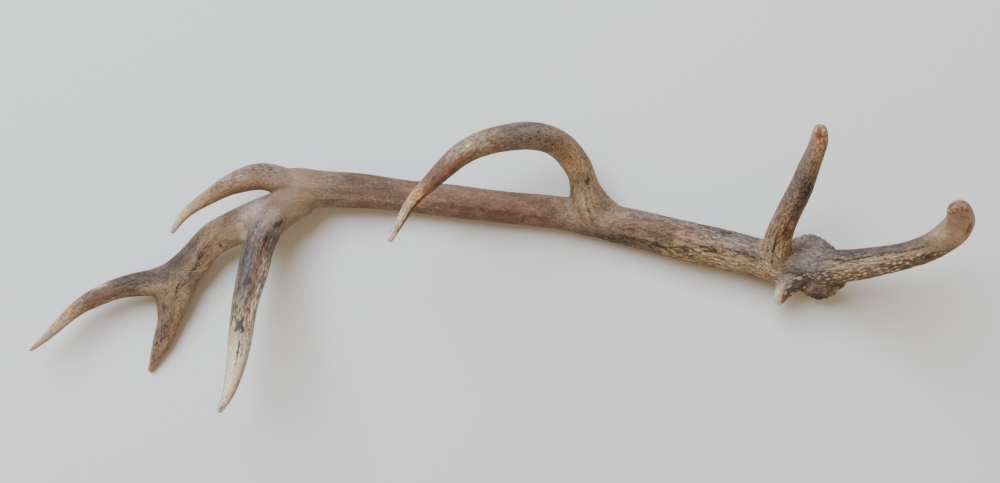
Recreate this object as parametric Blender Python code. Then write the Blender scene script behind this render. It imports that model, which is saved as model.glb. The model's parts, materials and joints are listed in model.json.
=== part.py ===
# A cast red deer antler, lying as it was found, parted at its main forks.
# Metres, +Z up. The surface it lies on is z = 0 and the origin is under the middle of its box.

import math

import bmesh
import bpy
import numpy as np
from mathutils import Matrix, Vector

MM = 0.001

# Centre-line stations of each branch, in millimetres: x, y, z, width, thickness. The width lies
# level across the branch and the thickness square to it. The first station is inside the parent
# and the last is the middle of the rounded tip. The base snag stays one piece with the beam.
STATIONS = {
    "main_beam": [
        (340, -2, 30, 44, 44),
        (319, -1, 28, 43, 44),
        (279, 8, 26, 40, 41),
        (228, 21, 24, 42, 41),
        (176, 34, 21, 40, 39),
        (125, 46, 19, 38, 37),
        (83, 54, 18, 35, 35),
        (42, 58, 17, 33, 33),
        (-31, 66, 17, 34, 34),
        (-83, 72, 19, 33, 32),
        (-134, 77, 24, 37, 33),
        (-164, 78, 29, 39, 33),
        (-184, 78, 33, 43, 32),
        (-199, 80, 35, 42, 30),
    ],
    "brow_tine": [
        (334, -2, 34, 36, 36),
        (373, 0, 60, 33, 33),
        (398, 5, 80, 29, 30),
        (417, 10, 98, 27, 28),
        (437, 20, 122, 27, 28),
        (446, 31, 145, 28, 28),
        (448, 42, 168, 27, 27),
        (442, 50, 186, 23, 23),
        (435, 53, 200, 17, 18),
        (428, 53, 208, 9, 10),
    ],
    "base_snag": [
        (326, -10, 36, 30, 26),
        (312, -26, 36, 19, 18),
        (308, -35, 33, 12, 12),
        (307, -38, 31, 8, 8),
    ],
    "bez_tine": [
        (304, 0, 28, 30, 30),
        (303, 25, 50, 27, 29),
        (304, 42, 72, 25, 27),
        (307, 58, 94, 24, 25),
        (311, 74, 115, 23, 23),
        (314, 93, 138, 21, 21),
        (317, 109, 156, 18, 18),
        (318, 121, 168, 16, 16),
        (317, 126, 173, 14, 14),
    ],
    "trez_tine": [
        (117, 47, 20, 56, 34),
        (108, 79, 35, 32, 31),
        (103, 95, 44, 28, 29),
        (96, 106, 53, 28, 28),
        (84, 118, 68, 28, 28),
        (65, 126, 88, 28, 28),
        (44, 127, 104, 28, 27),
        (21, 123, 118, 26, 26),
        (0, 116, 130, 25, 24),
        (-17, 106, 139, 21, 22),
        (-31, 93, 147, 19, 19),
        (-47, 77, 154, 15, 15),
        (-62, 60, 160, 12, 12),
        (-72, 42, 165, 9, 9),
        (-81, 26, 168, 6, 6),
    ],
    "crown_front_tine": [
        (-193, 82, 35, 30, 28),
        (-221, 91, 45, 27, 24),
        (-237, 88, 52, 24, 22),
        (-253, 81, 60, 19, 20),
        (-269, 70, 70, 14, 15),
        (-285, 57, 80, 10, 11),
        (-295, 45, 87, 8, 8),
        (-301, 34, 92, 5, 5),
    ],
    "crown_inner_tine": [
        (-193, 72, 36, 46, 28),
        (-213, 44, 46, 35, 28),
        (-222, 20, 56, 31, 28),
        (-226, -5, 68, 31, 28),
        (-231, -34, 82, 27, 26),
        (-233, -63, 95, 24, 24),
        (-235, -91, 107, 20, 20),
        (-239, -115, 116, 14, 15),
        (-243, -128, 121, 10, 10),
        (-248, -138, 125, 6, 6),
    ],
    "crown_rear_branch": [
        (-196, 61, 35, 34, 27),
        (-225, 51, 33, 33, 24),
        (-249, 40, 31, 34, 23),
        (-274, 27, 28, 34, 22),
        (-291, 9, 25, 35, 22),
        (-310, -10, 23, 38, 22),
        (-330, -17, 24, 31, 21),
        (-350, -20, 25, 26, 20),
        (-371, -24, 27, 22, 19),
        (-391, -32, 29, 20, 17),
        (-411, -43, 31, 16, 15),
        (-430, -60, 34, 12, 12),
        (-445, -75, 36, 8, 8),
        (-459, -87, 38, 4, 4),
    ],
    "crown_rear_snag": [
        (-312, -8, 23, 50, 21),
        (-318, -34, 19, 40, 20),
        (-323, -58, 14, 26, 18),
        (-331, -79, 10, 20, 15),
        (-338, -95, 7, 13, 12),
        (-345, -110, 3, 6, 7),
    ],
}

# How far along its centre-line each branch is parted from its parent, in millimetres.
PARTED_AT = {
    "brow_tine": 38,
    "bez_tine": 32,
    "trez_tine": 30,
    "crown_front_tine": 46,
    "crown_inner_tine": 62,
    "crown_rear_branch": 73,
    "crown_rear_snag": 42,
}

# The fillet of each fork: how far along the branch its middle is, and how far round it reaches.
FILLETS = {
    "brow_tine": (24, 45),
    "base_snag": (10, 22),
    "bez_tine": (19, 42),
    "trez_tine": (14, 55),
    "crown_front_tine": (32, 46),
    "crown_inner_tine": (45, 55),
    "crown_rear_branch": (55, 60),
    "crown_rear_snag": (28, 45),
}

# Long shallow flutes: how many run round each branch, and their depth as a share of the radius.
FLUTES = {
    "main_beam": (11, 0.04),
    "brow_tine": (9, 0.035),
    "bez_tine": (8, 0.035),
    "trez_tine": (8, 0.03),
    "crown_inner_tine": (7, 0.03),
    "crown_rear_branch": (8, 0.03),
}
FLUTE_TURNS = (60, 45)  # millimetres along which the two sets of flutes drift by a radian

# The burr: its middle, the way it faces along the beam, and its turned profile as radius and
# distance along that way, from inside the beam, over the rim, to the cast face.
BURR_MIDDLE = (345, -2, 28)
BURR_FACES = (-0.77, -0.27, 0.57)
BURR_PROFILE = [(20, 22), (25, 14), (29, 7), (31, 2), (30, -3), (26, -6), (18, -8), (9, -9)]
BURR_KNOBS = 23
KNOB_RING_RADIUS = 29.5
KNOB_RADIUS = 4.5
BURR_REACH = 38  # within this of the burr's middle the knobs are kept crisp
SEAL_RADIUS = 24  # of the cutter that leaves the flat in the middle of the cast face
SEAL_DEPTH = 8.2  # of that flat behind the burr's middle
SEAL_CUT = 20  # length of the cutter

RING_SPACING = 2.5
RING_SIDES = 44
TIP_RINGS = (0.35, 0.7, 0.95)  # how far along the rounded end each of its rings lies
VOXEL = 1.6
FILLET = 6.0  # how far the fork fillets spread
SAW_GAP = 0.3  # left between two pieces at a fork

# The nodes, each with the number of facets that its finished surface has.
TRIANGLES = {
    "main_beam": 4400,
    "brow_tine": 900,
    "bez_tine": 650,
    "trez_tine": 1000,
    "crown_front_tine": 450,
    "crown_inner_tine": 750,
    "crown_rear_branch": 1000,
    "crown_rear_snag": 350,
}

COLOURS = {
    "main_beam": (0.30, 0.21, 0.16),
    "brow_tine": (0.43, 0.33, 0.22),
    "bez_tine": (0.38, 0.28, 0.20),
    "trez_tine": (0.36, 0.26, 0.19),
    "crown_front_tine": (0.38, 0.29, 0.21),
    "crown_inner_tine": (0.50, 0.41, 0.31),
    "crown_rear_branch": (0.31, 0.22, 0.16),
    "crown_rear_snag": (0.34, 0.24, 0.17),
}
ROUGHNESS = 0.62


def spline(knots, values, at):
    """A natural cubic spline through the values at the knots, read at the given distances."""
    gaps = np.diff(knots)
    slopes = np.diff(values, axis=0) / gaps[:, None]
    system = np.eye(len(knots))
    turn = np.zeros_like(values)
    for i in range(1, len(knots) - 1):
        system[i, i - 1 : i + 2] = gaps[i - 1], 2 * (gaps[i - 1] + gaps[i]), gaps[i]
        turn[i] = 6 * (slopes[i] - slopes[i - 1])
    bend = np.linalg.solve(system, turn)
    k = np.clip(np.searchsorted(knots, at) - 1, 0, len(knots) - 2)
    gap = gaps[k][:, None]
    after = (at - knots[k])[:, None]
    before = gap - after
    curve = (bend[k] * before**3 + bend[k + 1] * after**3) / (6 * gap)
    start = (values[k] / gap - bend[k] * gap / 6) * before
    end = (values[k + 1] / gap - bend[k + 1] * gap / 6) * after
    return curve + start + end


def centre_line(name):
    """Distances along the branch, about RING_SPACING apart, and its smooth stations there."""
    stations = np.array(STATIONS[name], float)
    steps = np.linalg.norm(np.diff(stations[:, :3], axis=0), axis=1)
    knots = np.concatenate([[0.0], np.cumsum(steps)])
    at = np.linspace(0, knots[-1], round(knots[-1] / RING_SPACING) + 1)
    return at, spline(knots, stations, at)


def frames(points):
    """Tangent, level side and square-to-both direction at each point, carried without twist."""
    tangents = np.gradient(points, axis=0)
    tangents /= np.linalg.norm(tangents, axis=1)[:, None]
    side = np.cross(tangents[0], (0, 0, 1))
    sides = []
    for tangent in tangents:
        side = side - tangent * (side @ tangent)
        side = side / np.linalg.norm(side)
        sides.append(side)
    sides = np.array(sides)
    return tangents, sides, np.cross(sides, tangents)


def place_along(name, distance):
    """A point on the branch's centre-line, in metres, and the way the branch runs there."""
    along, values = centre_line(name)
    at = int(np.argmin(abs(along - distance)))
    tangents = frames(values[:, :3])[0]
    return Vector(values[at, :3]) * MM, Vector(tangents[at])


def rings_to_mesh(bm, rings, first, last):
    """Skins the rings with quads and closes both ends to the points first and last."""
    rows = [[bm.verts.new(Vector(p) * MM) for p in ring] for ring in rings]
    for low, high in zip(rows, rows[1:]):
        for i in range(len(low)):
            j = (i + 1) % len(low)
            bm.faces.new((low[i], low[j], high[j], high[i]))
    for row, point in ((rows[0], first), (rows[-1], last)):
        pole = bm.verts.new(Vector(point) * MM)
        for i in range(len(row)):
            bm.faces.new((row[i], row[(i + 1) % len(row)], pole))


def flutes(name, angles, distance, share):
    """The section's radius round the branch, as a share of the plain ellipse."""
    count, depth = FLUTES.get(name, (0, 0))
    broad = np.cos(count * angles + distance / FLUTE_TURNS[0])
    fine = np.cos((count - 3) * angles - distance / FLUTE_TURNS[1])
    fade = math.sqrt(1 - 0.8 * share)
    return 1 + depth * fade * (0.6 * broad + 0.4 * fine)


def add_branch(bm, name):
    """A fluted tube of elliptical section along the branch, rounded at the tip."""
    along, values = centre_line(name)
    points = values[:, :3]
    tangents, sides, overs = frames(points)
    angles = np.linspace(0, math.tau, RING_SIDES, endpoint=False)
    rings = []
    for i, distance in enumerate(along):
        swell = flutes(name, angles, distance, distance / along[-1])
        across = values[i, 3] / 2 * np.cos(angles) * swell
        through = values[i, 4] / 2 * np.sin(angles) * swell
        rings.append(points[i] + np.outer(across, sides[i]) + np.outer(through, overs[i]))
    end = values[-1, 3] / 2
    tip = rings[-1] - points[-1]
    for lift in TIP_RINGS:
        middle = points[-1] + tangents[-1] * end * lift
        rings.append(middle + tip * math.sqrt(1 - lift**2))
    rings_to_mesh(bm, rings, points[0], points[-1] + tangents[-1] * end)


def burr_axes():
    """The way the burr faces, and two directions across it."""
    facing = Vector(BURR_FACES).normalized()
    level = facing.cross(Vector((0, 0, 1))).normalized()
    return facing, level, facing.cross(level)


def add_burr(bm):
    """The flared collar and the domed cast face as a turned disc, with knobs round its rim."""
    facing, level, steep = burr_axes()
    middle = Vector(BURR_MIDDLE)
    angles = np.linspace(0, math.tau, RING_SIDES, endpoint=False)
    outward = [level * math.cos(a) + steep * math.sin(a) for a in angles]
    rings = []
    for radius, height in BURR_PROFILE:
        rings.append([middle + facing * height + out * radius for out in outward])
    first = middle + facing * BURR_PROFILE[0][1]
    last = middle + facing * BURR_PROFILE[-1][1]
    rings_to_mesh(bm, rings, first, last)
    for i in range(BURR_KNOBS):
        angle = math.tau * (i + 0.25 * math.sin(2.4 * i)) / BURR_KNOBS
        out = level * math.cos(angle) + steep * math.sin(angle)
        size = KNOB_RADIUS * (1 + 0.16 * math.sin(1.7 * i + 1))
        place = middle + out * (KNOB_RING_RADIUS + 0.8 * math.sin(3.1 * i))
        knob = bmesh.ops.create_icosphere(bm, subdivisions=3, radius=size * MM)
        bmesh.ops.translate(bm, verts=knob["verts"], vec=place * MM)


def link(name, mesh):
    obj = bpy.data.objects.new(name, mesh)
    bpy.context.collection.objects.link(obj)
    return obj


def applied(obj):
    """A plain mesh of the object with its modifiers applied, in place of the object."""
    graph = bpy.context.evaluated_depsgraph_get()
    mesh = bpy.data.meshes.new_from_object(obj.evaluated_get(graph))
    bpy.data.objects.remove(obj)
    return mesh


def positions(mesh):
    """The mesh's points as rows of x, y, z, in metres."""
    points = np.empty(len(mesh.vertices) * 3)
    mesh.vertices.foreach_get("co", points)
    return points.reshape(-1, 3)


def fillet_weights(points):
    """How strongly each point is smoothed: fully at a fork, fading to nothing round it."""
    weights = np.zeros(len(points))
    for name, (distance, reach) in FILLETS.items():
        middle = np.array(place_along(name, distance)[0])
        away = np.linalg.norm(points - middle, axis=1) / (reach * MM)
        near = np.clip(2 - 2 * away, 0, 1)
        weights = np.maximum(weights, near * near * (3 - 2 * near))
    from_burr = np.linalg.norm(points - np.array(BURR_MIDDLE) * MM, axis=1)
    return weights * np.clip((from_burr / MM - BURR_REACH + 10) / 10, 0.06, 1)


def whole_skin():
    """The whole antler as one closed skin with filleted forks, its lowest point at z = 0."""
    bm = bmesh.new()
    for name in STATIONS:
        add_branch(bm, name)
    add_burr(bm)
    bmesh.ops.recalc_face_normals(bm, faces=bm.faces)
    mesh = bpy.data.meshes.new("rough")
    bm.to_mesh(mesh)
    bm.free()

    rough = link("rough", mesh)
    remesh = rough.modifiers.new("one skin", "REMESH")
    remesh.mode = "VOXEL"
    remesh.voxel_size = VOXEL * MM
    skin = link("skin", applied(rough))

    weights = fillet_weights(positions(skin.data))
    forks = skin.vertex_groups.new(name="forks")
    for index in np.flatnonzero(weights > 0.01):
        forks.add([int(index)], float(weights[index]), "REPLACE")
    fillet = skin.modifiers.new("fillets", "SMOOTH")
    fillet.vertex_group = "forks"
    fillet.factor = 0.5
    fillet.iterations = round((2 * FILLET / VOXEL) ** 2)
    mesh = applied(skin)
    mesh.transform(Matrix.Translation((0, 0, -positions(mesh)[:, 2].min())))
    return mesh


def section_strip(bm, place, way):
    """The closed band of faces that the plane crosses, round the nearest such face."""
    ahead = {v: (v.co - place).dot(way) > 0 for v in bm.verts}
    crossed = [f for f in bm.faces if len({ahead[v] for v in f.verts}) == 2]
    start = min(crossed, key=lambda f: (f.calc_center_median() - place).length)
    strip = {start: True}
    front = [start]
    while front:
        for edge in front.pop().edges:
            if len({ahead[v] for v in edge.verts}) == 2:
                fresh = [f for f in edge.link_faces if f not in strip]
                strip.update(dict.fromkeys(fresh, True))
                front.extend(fresh)
    return list(strip)


def part_branch(bm, name):
    """Cuts the branch from its parent square to its centre-line, and caps both cuts."""
    place, way = place_along(name, PARTED_AT[name])
    faces = section_strip(bm, place, way)
    edges = list(dict.fromkeys(e for f in faces for e in f.edges))
    verts = list(dict.fromkeys(v for f in faces for v in f.verts))
    cut = bmesh.ops.bisect_plane(bm, geom=faces + edges + verts, plane_co=place, plane_no=way)
    loop = [e for e in cut["geom_cut"] if isinstance(e, bmesh.types.BMEdge)]
    bmesh.ops.split_edges(bm, edges=loop)
    rims = [e for e in bm.edges if e.is_boundary]
    caps = bmesh.ops.holes_fill(bm, edges=rims, sides=0)["faces"]
    bmesh.ops.recalc_face_normals(bm, faces=bm.faces)
    for cap in caps:
        bmesh.ops.translate(bm, verts=cap.verts, vec=cap.normal * -SAW_GAP / 2 * MM)
    bmesh.ops.triangulate(bm, faces=caps)


def island_from(start):
    """All the points of the body that holds this point."""
    island = {start}
    front = [start]
    while front:
        for edge in front.pop().link_edges:
            fresh = [v for v in edge.verts if v not in island]
            island.update(fresh)
            front.extend(fresh)
    return island


def far_end(name):
    """The middle of a branch's tip; for the beam, the middle of the burr."""
    if name == "main_beam":
        return Vector(BURR_MIDDLE) * MM
    return Vector(STATIONS[name][-1][:3]) * MM


def mesh_of(bm, name):
    """A new mesh of the body that ends where this branch ends."""
    mark = far_end(name)
    nearest = min(bm.verts, key=lambda v: (v.co - mark).length)
    island = island_from(nearest)
    own = [v for v in bm.verts if v in island]
    number = {vert: i for i, vert in enumerate(own)}
    faces = [[number[v] for v in f.verts] for f in bm.faces if f.verts[0] in island]
    mesh = bpy.data.meshes.new(name)
    mesh.from_pydata([v.co for v in own], [], faces)
    mesh.shade_smooth()
    mesh.calc_loop_triangles()
    return mesh


def bone(name):
    """Weathered bone in the colour of this branch."""
    material = bpy.data.materials.new(name)
    material.use_nodes = True
    shader = material.node_tree.nodes["Principled BSDF"]
    shader.inputs["Base Color"].default_value = (*COLOURS[name], 1)
    shader.inputs["Roughness"].default_value = ROUGHNESS
    shader.inputs["Metallic"].default_value = 0.0
    return material


def seal_cutter():
    """A cutter behind the burr that leaves the flat in the middle of the cast face."""
    facing = burr_axes()[0]
    bm = bmesh.new()
    bmesh.ops.create_cone(
        bm,
        cap_ends=True,
        segments=24,
        radius1=SEAL_RADIUS * MM,
        radius2=SEAL_RADIUS * MM,
        depth=SEAL_CUT * MM,
    )
    mesh = bpy.data.meshes.new("seal_cutter")
    bm.to_mesh(mesh)
    bm.free()
    cutter = link("seal_cutter", mesh)
    cutter.rotation_mode = "QUATERNION"
    cutter.rotation_quaternion = facing.to_track_quat("Z", "Y")
    cutter.location = (Vector(BURR_MIDDLE) - facing * (SEAL_DEPTH + SEAL_CUT / 2)) * MM
    cutter.hide_render = True
    cutter.display_type = "WIRE"
    return cutter


def build():
    for obj in list(bpy.data.objects):
        bpy.data.objects.remove(obj)
    bm = bmesh.new()
    bm.from_mesh(whole_skin())
    for name in PARTED_AT:
        part_branch(bm, name)
    for name, count in TRIANGLES.items():
        branch = link(name, mesh_of(bm, name))
        branch.data.materials.append(bone(name))
        facets = branch.modifiers.new("facets", "DECIMATE")
        facets.ratio = count / len(branch.data.loop_triangles)
        facets.use_collapse_triangulate = True
    bm.free()
    seal = bpy.data.objects["main_beam"].modifiers.new("seal", "BOOLEAN")
    seal.operation = "DIFFERENCE"
    seal.solver = "EXACT"
    seal.object = seal_cutter()


build()
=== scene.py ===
import json
import math

import bmesh
import bpy
import numpy as np
from mathutils import Matrix, Vector

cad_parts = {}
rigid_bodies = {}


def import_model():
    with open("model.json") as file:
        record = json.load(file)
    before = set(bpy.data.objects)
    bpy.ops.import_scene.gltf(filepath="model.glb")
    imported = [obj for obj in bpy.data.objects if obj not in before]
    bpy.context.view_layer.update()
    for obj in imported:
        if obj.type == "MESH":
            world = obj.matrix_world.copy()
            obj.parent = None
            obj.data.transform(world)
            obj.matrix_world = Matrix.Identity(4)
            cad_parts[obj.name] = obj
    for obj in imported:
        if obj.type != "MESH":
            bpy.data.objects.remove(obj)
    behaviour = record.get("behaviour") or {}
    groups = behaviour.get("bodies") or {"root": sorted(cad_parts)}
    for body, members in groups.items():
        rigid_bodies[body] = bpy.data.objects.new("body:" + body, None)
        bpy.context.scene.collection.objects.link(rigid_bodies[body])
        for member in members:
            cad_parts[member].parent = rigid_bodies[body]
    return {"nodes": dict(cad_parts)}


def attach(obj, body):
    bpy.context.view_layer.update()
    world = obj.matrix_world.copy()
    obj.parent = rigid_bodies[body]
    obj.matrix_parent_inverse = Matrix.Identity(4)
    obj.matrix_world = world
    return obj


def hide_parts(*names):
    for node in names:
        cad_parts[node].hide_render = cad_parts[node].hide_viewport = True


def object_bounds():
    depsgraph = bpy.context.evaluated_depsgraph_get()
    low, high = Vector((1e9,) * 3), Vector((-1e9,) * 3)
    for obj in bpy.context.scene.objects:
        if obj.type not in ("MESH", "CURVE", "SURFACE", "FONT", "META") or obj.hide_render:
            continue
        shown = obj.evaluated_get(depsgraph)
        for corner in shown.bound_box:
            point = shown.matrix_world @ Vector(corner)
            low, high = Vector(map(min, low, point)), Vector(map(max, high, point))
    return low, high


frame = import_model()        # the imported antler, which stays where it is
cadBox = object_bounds()
mm = 0.001
print("frame loaded:", ", ".join(sorted(frame["nodes"])))


def lightTone(red, green, blue):
    # a colour picker's 0 to 255 as the linear values that a shader takes
    tone = np.array((red, green, blue)) / 255
    return np.where(tone < 0.04045, tone / 12.92, ((tone + 0.055) / 1.055) ** 2.4)


palette = {name: lightTone(*tone) for name, tone in {
    "umber": (121, 91, 76),       # the brown of most of the beam
    "walnut": (88, 71, 62),       # its darkest stretches
    "ash": (168, 155, 150),       # the pale grey of the burr's collar; on the crown rear branch's root, painted light
    "mauve": (124, 111, 105),     # grey of the upper sides, partly the bone's own and partly painted cool light from the upper left
    "slate": (92, 83, 82),        # the cold grey near the burr
    "rose": (158, 125, 108),      # the warm, bare stretch of the beam
    "tan": (165, 137, 107),       # clean bone in the light
    "straw": (180, 154, 116),     # polished yellow bone
    "olive": (134, 115, 86),      # dull yellow bone; also painted shade in the crease at the crown inner tine's root
    "sand": (138, 115, 96),       # dull bone between tan and umber
    "bone": (192, 172, 146),      # the bare points; also a painted highlight on the base snag's edge
    "ivory": (214, 197, 174),     # the bare points
    "sootAndShade": (54, 44, 38),         # dark stains and dirt, and the painted shade in hollows, between pearls and in creases
    "rust": (116, 70, 46),        # old blood and tannin
    "honey": (190, 140, 96),      # the warm tine ends
}.items()}


# One dictionary for each branch. Stations: x, y, z, width, thickness, from inside the parent to the
# middle of the rounded tip. Ground, grooves, streaks, speckles and polish are stops at distances
# along the branch. Bands are smooth tints, each laid over the ones before it, dark, red and pale are
# marks with broken edges, and pearls are where the bone is beaded: along, side, length, width and
# strength, after the colour of a band. Side, as seen from above, goes from -1 on the left of the way
# from root to tip to 1 on its right, and width is a share of the radius.
mainBeam = {
    "stations": [
        (340, -2, 30, 44, 44), (319, -1, 28, 43, 44), (279, 8.8, 26, 41.5, 41), (228, 21, 24, 42, 41),
        (176, 34, 21, 40, 39), (125, 46, 19, 38, 37), (83, 54, 18, 35, 35), (42, 58, 17, 33, 33),
        (-31, 66, 17, 34, 34), (-83, 72, 19, 33, 32), (-134, 77, 24, 37, 33), (-164, 78, 29, 39, 33),
        (-180, 78, 33, 43, 32), (-190, 79, 34, 42, 30),
    ],
    "flutes": (11, 0.025),
    "ground": [
        (35, "mauve"), (60, "sand"), (110, "rose"), (190, "sand"), (250, "sand"), (300, "umber"),
        (480, "umber"), (505, "sand"), (560, "umber"),
    ],
    "grooves": [
        (0, 0.2), (8, 0.25), (25, 0.5), (50, 0.5), (90, 0.75), (190, 0.7), (230, 0.35), (320, 0.25),
        (450, 0.2), (549, 0.1),
    ],
    "streaks": [
        (0, 0.3), (8, 0.4), (25, 0.8), (50, 0.7), (90, 0.9), (200, 0.75), (240, 0.4), (330, 0.35),
        (480, 0.3), (515, 0.05),
    ],
    "speckles": [(0, 1.1), (10, 0.9), (30, 0.3), (250, 0.6), (400, 0.9), (500, 1.0), (530, 0.6)],
    "polish": [(0, 0.1), (480, 0.2), (520, 0.75)],
    "pearls": [(5, -0.6, 17, 0.32, 0.9), (210, -0.95, 60, 0.25, 0.35)],
    # The mauve band at 110, on the upper side, is partly painted cool light.
    "bands": [
        ("ash", 3, 0.9, 20, 0.5, 0.6), ("slate", 24, -0.1, 16, 0.45, 0.8),
        ("umber", 34, -0.3, 12, 0.3, 0.7), ("slate", 74, -0.05, 20, 0.25, 0.65),
        ("mauve", 110, 0.85, 90, 0.35, 0.75), ("straw", 78, -0.62, 50, 0.42, 0.95),
        ("ash", 88, 0.5, 22, 0.3, 0.6), ("sand", 134, -0.05, 20, 0.3, 0.6),
        ("straw", 98, -0.32, 22, 0.22, 0.7), ("walnut", 150, -0.15, 14, 0.25, 0.4),
        ("rust", 168, 0.1, 34, 0.35, 0.3), ("umber", 184, -0.05, 14, 0.4, 0.5),
        ("straw", 125, -0.75, 40, 0.4, 0.85), ("walnut", 200, -0.8, 60, 0.25, 0.5),
        ("tan", 235, 0.6, 30, 0.4, 0.6), ("umber", 215, -0.3, 45, 0.5, 0.6),
        ("walnut", 475, 0.5, 50, 0.6, 0.35), ("sand", 440, -0.7, 60, 0.4, 0.5),
        ("olive", 530, -0.6, 25, 0.6, 0.5), ("olive", 0, -0.9, 14, 0.45, 0.95),
    ],
    "dark": [
        (0, -1.0, 12, 0.09, 1.1), (26, -0.2, 14, 0.3, 0.8), (157, -0.62, 24, 0.22, 0.85),
        (131, -0.5, 26, 0.3, 0.9), (107, -0.17, 20, 0.22, 1.1), (70, -0.02, 24, 0.16, 0.9),
        (182, -0.62, 20, 0.16, 0.9), (205, -0.8, 40, 0.14, 0.8), (190, -0.1, 20, 0.2, 0.6),
        (101, 0.8, 26, 0.2, 0.6), (55, -0.55, 22, 0.12, 0.8), (342, -0.26, 8, 0.35, 0.6),
        (303, -0.62, 7, 0.3, 0.65), (359, -0.68, 10, 0.3, 0.55), (485, 0.5, 30, 0.5, 0.45),
        (459, 0.26, 18, 0.4, 0.4),
    ],
    "red": [
        (150, 0.35, 30, 0.3, 0.45), (350, 0.15, 50, 0.4, 0.35), (115, -0.02, 26, 0.25, 0.4),
        (315, -0.1, 14, 0.4, 0.45), (288, -0.5, 14, 0.3, 0.45), (369, 0.43, 16, 0.3, 0.4),
        (545, -0.08, 7, 0.2, 1.6),
    ],
}
browTine = {
    "parent": "mainBeam",
    "parted": 38,
    "fillet": (24, 45),
    "stations": [
        (334, -2, 34, 36, 36), (373, 0, 60, 33, 33), (398, 5, 80, 29, 30), (417, 10, 98, 27, 28),
        (437, 20, 122, 27, 28), (446, 31, 145, 28, 28), (448, 42, 168, 27, 27), (442, 50, 186, 23, 23),
        (435, 53, 200, 17, 18), (428, 53, 208, 9, 10),
    ],
    "flutes": (9, 0.02),
    "ground": [(25, "mauve"), (45, "tan"), (145, "tan"), (165, "sand"), (180, "tan")],
    "grooves": [(0, 0.8), (120, 0.9), (150, 0.35), (175, 0)],
    "streaks": [(140, 0.7), (170, 0.1)],
    "speckles": [(0, 0.3), (150, 0.2), (190, 0.2), (240, 0.7)],
    "polish": [(0, 0.1), (150, 0.3), (200, 0.5)],
    "pearls": [(85, 0.5, 75, 0.42, 1.0), (20, 0.62, 25, 0.42, 0.9)],
    "bands": [
        ("slate", 85, -0.85, 75, 0.4, 0.9), ("slate", 12, 0.1, 22, 0.4, 0.5),
        ("ash", 14, -0.9, 18, 0.55, 0.6), ("bone", 62, -0.1, 40, 0.3, 0.6),
        ("tan", 80, 0.98, 75, 0.2, 0.6), ("bone", 166, -0.9, 8, 0.25, 0.3),
        ("straw", 180, 0.3, 25, 0.8, 0.5),
    ],
    "dark": [
        (60, -0.42, 40, 0.14, 0.8), (115, -0.45, 40, 0.16, 0.75), (90, -0.12, 50, 0.12, 0.75),
        (134, 0.4, 20, 0.3, 0.9), (199, -0.05, 7, 0.2, 0.7), (242, 0.9, 5, 0.3, 0.7),
    ],
    "red": [
        (200, 0.0, 10, 0.3, 1.2), (230, 0.1, 20, 1.4, 0.6), (242, 1.0, 7, 0.4, 1.2),
        (241, -0.8, 5, 0.25, 1.1), (226, 0.8, 9, 0.2, 1.1),
    ],
}
baseSnag = {
    "parent": "mainBeam",
    "fillet": (10, 22),
    "stations": [
        (326, -10, 36, 30, 26), (312, -26, 36, 19, 18), (308, -35, 33, 12, 12), (307, -38, 31, 8, 8),
    ],
    "ground": [(0, "slate"), (16, "mauve"), (25, "tan"), (33, "ivory")],
    "grooves": [(0, 0.6), (30, 0.1)],
    "streaks": [(0, 0.6), (30, 0.2)],
    "speckles": [(0, 0.3)],
    "polish": [(0, 0.1), (30, 0.8)],
    "pearls": [(12, -0.75, 18, 0.6, 2.5)],
    # The ivory band at 28 on the side at 0.9 is a painted highlight on the edge turned to the light.
    "bands": [
        ("ivory", 28, 0.9, 9, 0.5, 0.8), ("slate", 20, -0.2, 8, 0.5, 1.0),
        ("honey", 28, -0.4, 5, 0.5, 0.7),
    ],
    "dark": [(20, -0.3, 6, 0.3, 0.7)],
    "red": [(26, -0.3, 2.5, 0.35, 0.9)],
}
bezTine = {
    "parent": "mainBeam",
    "parted": 32,
    "fillet": (19, 42),
    "filletShare": 0.4,
    "mixing": 4.0,
    "stations": [
        (303, 0, 28, 32, 32), (302.5, 25, 50, 29, 29), (304, 42, 72, 25, 27), (307, 58, 94, 24, 25),
        (311, 74, 115, 23, 23), (314, 93, 138, 21, 21), (317, 109, 156, 18, 18), (318, 121, 168, 16, 16),
        (317, 126, 173, 14, 14),
    ],
    "flutes": (8, 0.02),
    "ground": [(45, "straw"), (75, "tan"), (110, "sand"), (150, "sand"), (180, "tan")],
    "grooves": [(0, 1), (70, 0.8), (120, 0.5), (180, 0.15)],
    "streaks": [(0, 0.8), (120, 0.7), (180, 0.4)],
    "speckles": [(0, 0.3), (70, 0.9), (105, 1.3), (196, 1.1)],
    "polish": [(0, 0.2), (196, 0.1)],
    # The mauve band at 145, on the side turned to the light, is partly painted cool light.
    "bands": [
        ("mauve", 145, -0.85, 60, 0.4, 0.75), ("straw", 160, 0.1, 22, 0.4, 0.5),
        ("umber", 6, 0.2, 12, 0.8, 0.7), ("rose", 78, -0.6, 35, 0.4, 0.6),
        ("honey", 194, -0.4, 9, 0.9, 1.0),
    ],
    "dark": [
        (130, 0.3, 30, 0.6, 0.85), (98, 0.2, 26, 0.5, 0.8), (70, 0.75, 30, 0.3, 0.6),
        (40, -0.4, 40, 0.09, 1.3), (12, -0.75, 22, 0.09, 1.2), (55, 0.5, 20, 0.12, 0.8),
        (66, 0.05, 12, 0.3, 0.7),
    ],
    "red": [
        (66, 0.1, 20, 0.45, 0.9), (105, 0.1, 30, 0.3, 0.6), (184, 0.3, 14, 0.5, 0.6),
        (195, -0.4, 5, 0.5, 1.6),
    ],
    "pale": [(196, -0.95, 5, 0.15, 0.5)],
}
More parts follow.
